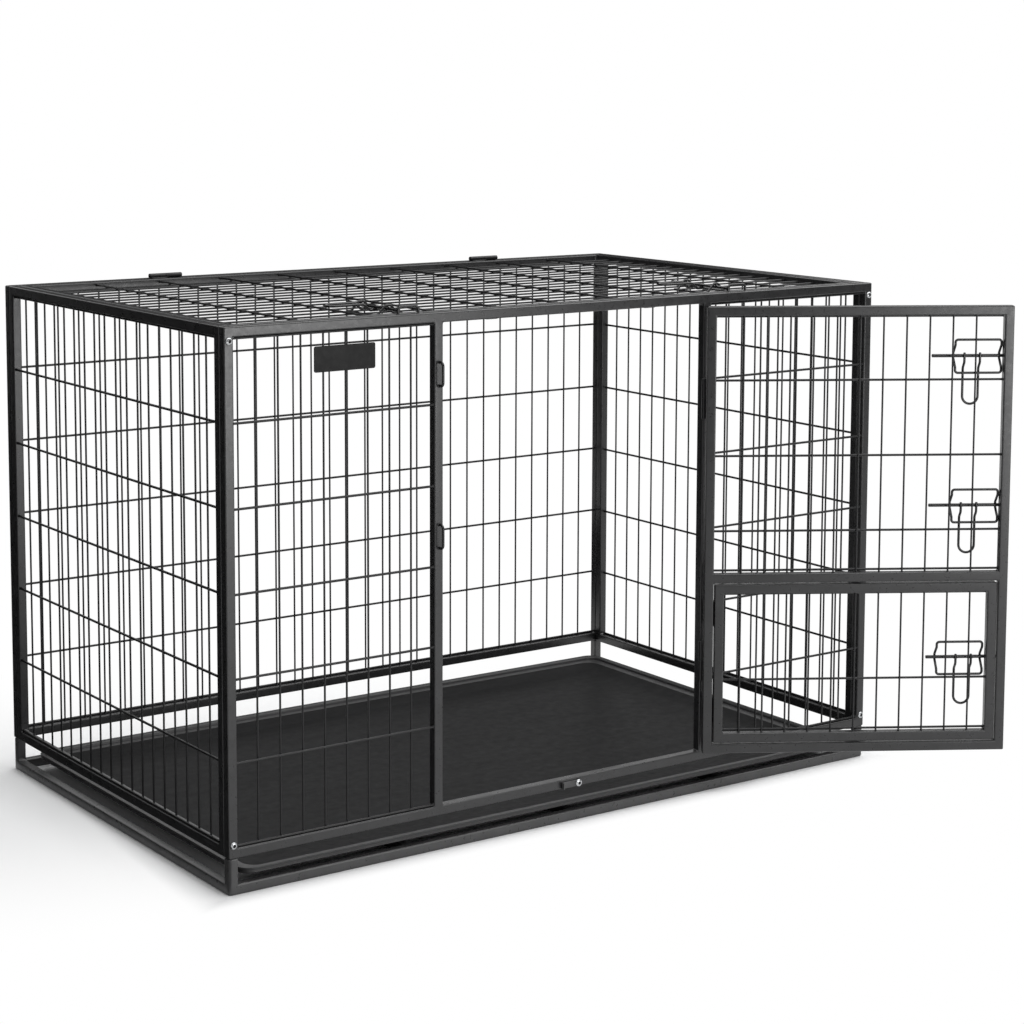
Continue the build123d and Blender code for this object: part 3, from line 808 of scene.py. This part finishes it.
def hinge_pins(node, joint, material):
    """Pins with a low dome at both ends."""
    pivot, axis = hinge_line(joint)
    across = axis.orthogonal().normalized()
    other = axis.cross(across)
    shape = Shape()
    for points in solids(node):
        along = [axis.dot(p - pivot) for p in points]
        stations = [(min(along) + at, share) for at, share in PIN_DOME]
        stations += [(max(along) - at, share) for at, share in reversed(PIN_DOME)]
        rings = []
        for at, share in stations:
            rings.append(circle(pivot + axis * at, across, other, PIN_RADIUS * share, PIN_SIDES))
        shape.add_rings(rings)
    shape.make(node.replace("pins", "pin_bars"), node, material)


def hinges(material):
    """Both halves and the pins of the hinges of the door, the feed door and the lid."""
    for name, fixed_out, moving_out in (
        ("door", FRONT, DOOR_OUT),
        ("feed", DOOR_OUT, DOOR_OUT),
        ("lid", UP, UP),
    ):
        joint = f"{name}_swing"
        hinge_leaves(f"{name}_hinge_fixed_halves", joint, fixed_out, material)
        hinge_leaves(f"{name}_hinge_moving_halves", joint, moving_out, material)
        hinge_pins(f"{name}_hinge_pins", joint, material)


# Screws, plate, stops and tray lock

def hexagon(centre, across, other, size, sides):
    """Ring of points on a hexagon, given by half its width over the flats."""
    ring = []
    for i in range(sides):
        turn = 2 * math.pi * i / sides
        within = turn % (math.pi / 3) - math.pi / 6
        radius = size / math.cos(within)
        ring.append(centre + across * (radius * math.cos(turn)) + other * (radius * math.sin(turn)))
    return ring


def add_screw(shape, seat, out, radius, height, depth):
    """Button head with a hexagon socket, on the face it is screwed to."""
    across = out.orthogonal().normalized()
    other = out.cross(across)
    rings = [circle(seat - out * SHORT_LEAD, across, other, radius * HEAD_FOOT, SCREW_SIDES)]
    rings.append(circle(seat + out * (HEAD_EDGE * height), across, other, radius, SCREW_SIDES))
    for step in range(1, HEAD_STEPS + 1):
        turn = math.pi / 2 * step / HEAD_QUARTER
        rise = height * (HEAD_DOME + (1 - HEAD_DOME) * math.sin(turn))
        size = radius * (HEAD_FLAT + (1 - HEAD_FLAT) * math.cos(turn))
        rings.append(circle(seat + out * rise, across, other, size, SCREW_SIDES))
    top = seat + out * height
    for sunk, share in SOCKET_LEVELS:
        rings.append(hexagon(top - out * (sunk * depth), across, other, SOCKET * share, SCREW_SIDES))
    # The socket's faces take the second material, whose near-black colour is painted shade.
    shape.add_rings(rings, second_from=len(rings) - 2)


def corner_screws(plating, hole):
    """Heads of the screws that hold the panels together."""
    shape = Shape()
    for low, high in boxes("corner_screws"):
        centre = (low + high) / 2
        out = FRONT if centre.y < 0 else BACK
        face = Vector((centre.x, out.y * (max(abs(low.y), abs(high.y)) - SCREW_RISE), centre.z))
        add_screw(shape, face, out, SCREW_RADIUS, SCREW_RISE, SOCKET_DEPTH)
    shape.make("corner_screw_heads", "corner_screws", plating, second=hole)


def add_plate(shape, low, high, levels, radii, steps):
    """Upright plate with round corners, drawn in by an inset at each of its levels from back to front."""
    middle = (low + high) / 2
    rings = []
    for y, inset in levels:
        corners = [max(radius - inset, LEAST_CORNER) for radius in radii]
        outline = rounded_outline(high.x - low.x - 2 * inset, high.z - low.z - 2 * inset, corners, steps)
        rings.append([Vector((middle.x + x, y, middle.z + z)) for x, z in outline])
    shape.add_rings(rings)


def tray_lock(coat, plating, hole):
    """Tab that holds the tray in, with its bent lip, and the screw it turns on."""
    low, high = boxes("tray_lock_screw")[0]
    seat = Vector(((low.x + high.x) / 2, low.y + STUD_RISE, (low.z + high.z) / 2))
    head = Shape()
    add_screw(head, seat, FRONT, STUD_RADIUS, STUD_RISE, STUD_SOCKET_DEPTH)
    head.make("tray_lock_stud", "tray_lock_screw", plating, second=hole)

    low, high = boxes("tray_lock_tab")[0]
    back, face = high.y, high.y - LEAF
    levels = ((back, TAB_INSET), (back - TAB_EDGE, 0), (face + TAB_EDGE, 0), (face, TAB_INSET))
    lever = Shape()
    add_plate(lever, low, high, levels, (TAB_ROUND, TAB_SQUARE, TAB_SQUARE, TAB_ROUND), TAB_STEPS)
    lip = (Vector((0, low.y - high.y, 0)), Vector((0, 0, high.z - low.z)), Vector((LEAF, 0, 0)))
    add_slab(lever, Vector((low.x, high.y, low.z)), lip)
    lever.make("tray_lock_lever", "tray_lock_tab", coat)


def blank_plate(material):
    """Plain plate on the front left grille."""
    low, high = boxes("name_plate")[0]
    levels = ((high.y, PLATE_BACK_EDGE), (high.y - PLATE_BACK_EDGE, 0))
    levels += ((low.y + PLATE_FRONT_EDGE, 0), (low.y, PLATE_FRONT_EDGE))
    shape = Shape()
    add_plate(shape, low, high, levels, [PLATE_CORNER] * len(CORNERS), PLATE_STEPS)
    shape.make("blank_plate", "name_plate", material)


def stop_tabs(node, material):
    """Flat tabs with broken edges."""
    shape = Shape()
    for low, high in boxes(node):
        size = high - low
        thin = min(range(3), key=lambda i: size[i])
        order = [i for i in range(3) if i != thin] + [thin]
        add_slab(shape, Vector(low), [UNITS[i] * size[i] for i in order])
    shape.make(f"{node}_tabs", node, material)


# Tray

def tray(rim, pan):
    """Moulded pan: beaded rim, a ledge inside it and a shallow slope down to the floor."""
    low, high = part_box("tray")
    middle = (low + high) / 2
    foot = high.z - TRAY_ROLL
    ledge = foot + TRAY_WALL
    profile = [(TRAY_FLOOR_INSET, low.z), (TRAY_LEDGE_INSET, foot)]
    for centre_z, first, last in ((foot + TRAY_BEAD, -90, 60), (high.z - TRAY_BEAD, -60, 90)):
        for turn in range(first, last + 1, TRAY_TURN):
            angle = math.radians(turn)
            profile.append((TRAY_BEAD * (1 - math.cos(angle)), centre_z + TRAY_BEAD * math.sin(angle)))
    reach = TRAY_ROLL - TRAY_BEAD
    for turn in range(0, 91, TRAY_TURN):
        angle = math.radians(turn)
        profile.append((TRAY_BEAD + reach * math.sin(angle), ledge + (high.z - ledge) * math.cos(angle)))
    profile.append((TRAY_ROLL + RIM_FOOT, ledge))
    # The pan's own material begins within the ledge's bend
    pan_from = len(profile) + 2
    for inset, z, (before, after) in (
        (TRAY_LEDGE_INSET, ledge, LEDGE_BEND),
        (TRAY_FLOOR_INSET, low.z + TRAY_WALL, FLOOR_BEND),
    ):
        for share in BEND_PLACES:
            bend = [before[k] * (1 - share) ** 2 + after[k] * share ** 2 for k in (0, 1)]
            profile.append((inset + bend[0], z + bend[1]))
    rings = []
    for inset, z in profile:
        drawn_in = min(inset, TRAY_ROLL) * (1 - min(max(inset - TRAY_ROLL, 0) / TRAY_LEDGE_INSET, 1))
        outline = rounded_outline(high.x - low.x - 2 * inset, high.y - low.y - 2 * inset,
                                  TRAY_CORNER - drawn_in, TRAY_CORNER_STEPS)
        rings.append([Vector((middle.x + x, middle.y + y, z)) for x, y in outline])
    shape = Shape()
    shape.add_rings(rings, second_from=pan_from)
    shape.make("tray_moulding", "tray", rim, sharp=TRAY_SHARP, second=pan)


# Materials

class Material:
    """Node material with short calls for the few textures used here."""

    def __init__(self, name):
        self.material = bpy.data.materials.new(name)
        self.material.use_nodes = True
        self.tree = self.material.node_tree
        self.shader = self.tree.nodes["Principled BSDF"]
        self.place = self.tree.nodes.new("ShaderNodeTexCoord").outputs["Object"]

    def link(self, out, into):
        self.tree.links.new(out, into)

    def stretched(self, scale):
        mapping = self.tree.nodes.new("ShaderNodeMapping")
        mapping.inputs["Scale"].default_value = scale
        self.link(self.place, mapping.inputs["Vector"])
        return mapping.outputs["Vector"]

    def noise(self, scale, detail=3.0, rough=0.55, place=None):
        noise = self.tree.nodes.new("ShaderNodeTexNoise")
        noise.inputs["Scale"].default_value = scale
        noise.inputs["Detail"].default_value = detail
        noise.inputs["Roughness"].default_value = rough
        self.link(place or self.place, noise.inputs["Vector"])
        return noise.outputs["Fac"]

    def cells(self, scale):
        cells = self.tree.nodes.new("ShaderNodeTexVoronoi")
        cells.feature = "SMOOTH_F1"
        cells.inputs["Scale"].default_value = scale
        self.link(self.place, cells.inputs["Vector"])
        return cells.outputs["Distance"]

    def ramp(self, factor, first, second, stops=MIDTONES):
        """Colours, or greys, between two stops of a factor."""
        ramp = self.tree.nodes.new("ShaderNodeValToRGB")
        for stop, at, value in zip(ramp.color_ramp.elements, stops, (first, second)):
            stop.position = at
            stop.color = (value, value, value, 1) if isinstance(value, float) else (*value, 1)
        self.link(factor, ramp.inputs["Fac"])
        return ramp.outputs["Color"]

    def bump(self, height, strength, distance, normal=None):
        bump = self.tree.nodes.new("ShaderNodeBump")
        bump.inputs["Strength"].default_value = strength
        bump.inputs["Distance"].default_value = distance
        self.link(height, bump.inputs["Height"])
        if normal:
            self.link(normal, bump.inputs["Normal"])
        return bump.outputs["Normal"]

    def finish(self, colour, roughness, normal, **sockets):
        self.link(colour, self.shader.inputs["Base Color"])
        self.link(roughness, self.shader.inputs["Roughness"])
        self.link(normal, self.shader.inputs["Normal"])
        for name, value in sockets.items():
            self.shader.inputs[name.replace("_", " ")].default_value = value
        return self.material


def powder_coat(name, dark, light, roughness, specular):
    """Satin black powder coat: orange peel, faint mottling and slightly uneven gloss."""
    coat = Material(name)
    colour = coat.ramp(coat.noise(scale=38.0, detail=5.0), dark, light, stops=(0.32, 0.7))
    gloss = coat.ramp(coat.noise(scale=140.0, detail=4.0), *roughness)
    peel = coat.bump(coat.cells(scale=620.0), strength=0.05, distance=0.3 * MM)
    fine = coat.noise(scale=2600.0, detail=2.0)
    normal = coat.bump(fine, strength=0.03, distance=0.2 * MM, normal=peel)
    return coat.finish(colour, gloss, normal, Specular_IOR_Level=specular)


def tray_plastic(name, dark, light, specular):
    """Moulded black sheet: fine pebble grain with drawn-out streaks."""
    sheet = Material(name)
    streaks = sheet.noise(scale=1.0, detail=6.0, rough=0.62, place=sheet.stretched((5.0, 46.0, 420.0)))
    colour = sheet.ramp(streaks, dark, light, stops=(0.3, 0.72))
    gloss = sheet.ramp(sheet.noise(scale=60.0, detail=5.0), 0.38, 0.5)
    grain = sheet.bump(sheet.cells(scale=900.0), strength=0.16, distance=0.3 * MM)
    normal = sheet.bump(streaks, strength=0.04, distance=0.4 * MM, normal=grain)
    return sheet.finish(colour, gloss, normal, Specular_IOR_Level=specular)


def zinc():
    """Bright zinc plate, faintly clouded."""
    metal = Material("bright_zinc")
    colour = metal.ramp(metal.noise(scale=900.0, detail=4.0), (0.4, 0.41, 0.42), (0.58, 0.59, 0.6))
    gloss = metal.ramp(metal.noise(scale=1500.0), 0.2, 0.36)
    normal = metal.bump(metal.noise(scale=3000.0, detail=2.0), strength=0.08, distance=0.1 * MM)
    return metal.finish(colour, gloss, normal, Metallic=1.0)


def socket_painted_shade():
    """Painted shade: the inside of a screw's socket, coloured near-black to stand in for the shade in the
    hole.
    """
    hole = Material("socket_painted_shade")
    colour = hole.ramp(hole.noise(scale=1200.0), (0.01, 0.01, 0.01), (0.03, 0.03, 0.031))
    gloss = hole.ramp(hole.noise(scale=2000.0), 0.5, 0.7)
    normal = hole.bump(hole.noise(scale=3000.0), strength=0.1, distance=0.1 * MM)
    return hole.finish(colour, gloss, normal, Specular_IOR_Level=0.3)


def plate_black():
    """Smooth black paint of the plate."""
    plate = Material("plate_black")
    mottle = plate.noise(scale=300.0, detail=5.0)
    colour = plate.ramp(mottle, (0.005, 0.005, 0.005), (0.008, 0.008, 0.008), stops=(0.3, 0.8))
    gloss = plate.ramp(plate.noise(scale=90.0, detail=4.0), 0.3, 0.42)
    normal = plate.bump(plate.noise(scale=1800.0), strength=0.05, distance=0.2 * MM)
    return plate.finish(colour, gloss, normal, Specular_IOR_Level=0.12)


# Stage

def joined(tree, operation, first, second):
    """One value made of two."""
    node = tree.nodes.new("ShaderNodeMath")
    node.operation = operation
    tree.links.new(first, node.inputs[0])
    tree.links.new(second, node.inputs[1])
    return node.outputs["Value"]


def vector_math(tree, operation, vector, constant=(0, 0, 0)):
    """Outputs of a vector operation, with a constant where it needs one."""
    node = tree.nodes.new("ShaderNodeVectorMath")
    node.operation = operation
    node.inputs[1].default_value = constant
    tree.links.new(vector, node.inputs[0])
    return node.outputs


def faded(tree, value, ends):
    """0 to 1 between two values, eased at both ends."""
    node = tree.nodes.new("ShaderNodeMapRange")
    node.interpolation_type = "SMOOTHSTEP"
    node.inputs["From Min"].default_value, node.inputs["From Max"].default_value = ends
    tree.links.new(value, node.inputs["Value"])
    return node.outputs["Result"]


def seen_rays(tree):
    """1 for rays that see the background: camera, glossy and transmission."""
    rays = tree.nodes.new("ShaderNodeLightPath")
    total = rays.outputs["Is Camera Ray"]
    for name in ("Is Glossy Ray", "Is Transmission Ray"):
        total = joined(tree, "MAXIMUM", total, rays.outputs[name])
    return total


def flat_piece(name, quads, material):
    """Flat stage piece made of four-cornered sheets."""
    mesh = bpy.data.meshes.new(name)
    points = [corner for quad in quads for corner in quad]
    mesh.from_pydata(points, [], [tuple(range(4 * i, 4 * i + 4)) for i in range(len(quads))])
    mesh.materials.append(material)
    sheet = bpy.data.objects.new(name, mesh)
    bpy.context.scene.collection.objects.link(sheet)
    return sheet


def white_share(tree):
    """How far the floor is pure white to the eye: not under the crate or in its shadow, fully farther off."""
    place = tree.nodes.new("ShaderNodeTexCoord").outputs["Object"]
    shrink = tree.nodes.new("ShaderNodeMapping")
    shrink.vector_type = "TEXTURE"
    shrink.inputs["Location"].default_value = SHADOW_CENTRE
    shrink.inputs["Scale"].default_value = SHADOW_REACH
    tree.links.new(place, shrink.inputs["Vector"])
    away = vector_math(tree, "LENGTH", shrink.outputs["Vector"])["Value"]
    apart = vector_math(tree, "DIVIDE", place, FOOTPRINT)["Vector"]
    split = tree.nodes.new("ShaderNodeSeparateXYZ")
    tree.links.new(vector_math(tree, "ABSOLUTE", apart)["Vector"], split.inputs["Vector"])
    outside = joined(tree, "MAXIMUM", split.outputs["X"], split.outputs["Y"])
    far = joined(tree, "MINIMUM", faded(tree, away, SHADOW_FADE), faded(tree, outside, EDGE_FADE))
    return joined(tree, "MULTIPLY", seen_rays(tree), far)


def floor():
    """Wide white floor: plain paint near the crate, where it takes the shadow, and pure white farther off."""
    material = bpy.data.materials.new("floor_white")
    material.use_nodes = True
    tree = material.node_tree
    tree.nodes.clear()
    paint = tree.nodes.new("ShaderNodeBsdfDiffuse")
    paint.inputs["Color"].default_value = FLOOR_PAINT
    glow = tree.nodes.new("ShaderNodeEmission")
    both = tree.nodes.new("ShaderNodeMixShader")
    out = tree.nodes.new("ShaderNodeOutputMaterial")
    tree.links.new(white_share(tree), both.inputs["Fac"])
    tree.links.new(paint.outputs["BSDF"], both.inputs[1])
    tree.links.new(glow.outputs["Emission"], both.inputs[2])
    tree.links.new(both.outputs["Shader"], out.inputs["Surface"])
    half = FLOOR_SIZE / 2
    ground = flat_piece("floor", [[(sx * half, sy * half, 0) for sx, sy in CORNERS]], material)
    ground.location.z = -FLOOR_DROP


def dark_flags():
    """Black cloths that only reflections see: to the left, behind, and beside and above the front light."""
    material = bpy.data.materials.new("black_cloth")
    material.use_nodes = True
    shader = material.node_tree.nodes["Principled BSDF"]
    shader.inputs["Base Color"].default_value = CLOTH_BLACK
    shader.inputs["Specular IOR Level"].default_value = 0.0
    cloths = flat_piece("dark_flags", FLAGS, material)
    cloths.visible_camera = False
    cloths.visible_diffuse = False
    cloths.visible_transmission = False
    cloths.visible_shadow = False


def world():
    """White to the eye, a plain grey light elsewhere."""
    made = bpy.data.worlds.new("studio")
    bpy.context.scene.world = made
    made.use_nodes = True
    tree = made.node_tree
    background = tree.nodes["Background"]
    background.inputs["Color"].default_value = (1, 1, 1, 1)
    strength = tree.nodes.new("ShaderNodeMapRange")
    strength.inputs["To Min"].default_value = WORLD_LIGHT
    strength.inputs["To Max"].default_value = 1.0
    tree.links.new(seen_rays(tree), strength.inputs["Value"])
    tree.links.new(strength.outputs["Result"], background.inputs["Strength"])


def softbox(name, place, aim, size, power):
    """Rectangular light that faces a point."""
    data = bpy.data.lights.new(name, "AREA")
    data.shape = "RECTANGLE"
    data.size, data.size_y = size
    data.energy = power
    lamp = bpy.data.objects.new(name, data)
    lamp.location = place
    lamp.rotation_euler = (Vector(aim) - Vector(place)).to_track_quat("-Z", "Y").to_euler()
    bpy.context.scene.collection.objects.link(lamp)


def camera():
    """Camera at the place the photograph was taken from."""
    data = bpy.data.cameras.new("camera")
    data.lens = CAMERA_LENS
    data.sensor_width = CAMERA_SENSOR
    data.shift_x, data.shift_y = CAMERA_SHIFT
    made = bpy.data.objects.new("camera", data)
    flat = math.cos(CAMERA_PITCH)
    ahead = Vector((math.sin(CAMERA_YAW) * flat, math.cos(CAMERA_YAW) * flat, math.sin(CAMERA_PITCH)))
    level = Vector((math.cos(CAMERA_YAW), -math.sin(CAMERA_YAW), 0))
    right = Quaternion(ahead, CAMERA_ROLL).inverted() @ level
    axes = Matrix((right, right.cross(ahead), -ahead)).transposed()
    made.matrix_world = Matrix.Translation(CAMERA_PLACE) @ axes.to_4x4()
    bpy.context.scene.collection.objects.link(made)
    bpy.context.scene.camera = made


def stage():
    """Floor, cloths, lights and camera."""
    floor()
    dark_flags()
    world()
    for name, setting in SOFTBOXES.items():
        softbox(name, *setting)
    camera()
    bpy.context.scene.view_settings.view_transform = "Standard"


def dress():
    """All the pieces of the crate, each with its material."""
    coats = {name: powder_coat(f"{name}_powder_coat", *look) for name, look in COATS.items()}
    plating = zinc()
    # The sockets' near-black colour is painted shade.
    hole = socket_painted_shade()
    for node in NODES:
        if node.endswith("_frame"):
            # The base frame takes the lighter coat that paints extra light onto it.
            tube_frame(node, coats["base" if node == "base_frame" else "tube"])
        elif node.endswith("_wires"):
            grille(node, coats["wire"])
    bolts(coats["bolt"])
    keepers(coats["bolt"])
    hinges(coats["wire"])
    corner_screws(plating, hole)
    tray_lock(coats["tab"], plating, hole)
    blank_plate(plate_black())
    stop_tabs("door_stop", coats["tube"])
    stop_tabs("lid_stops", coats["tube"])
    tray(tray_plastic("tray_rim", *TRAY_RIM), tray_plastic("tray_pan", *TRAY_PAN))
    for node in ("name_plate_clip", "panel_locating_pins"):
        NODES[node].data.materials.clear()
        NODES[node].data.materials.append(coats["tube"])


dress()
stage()
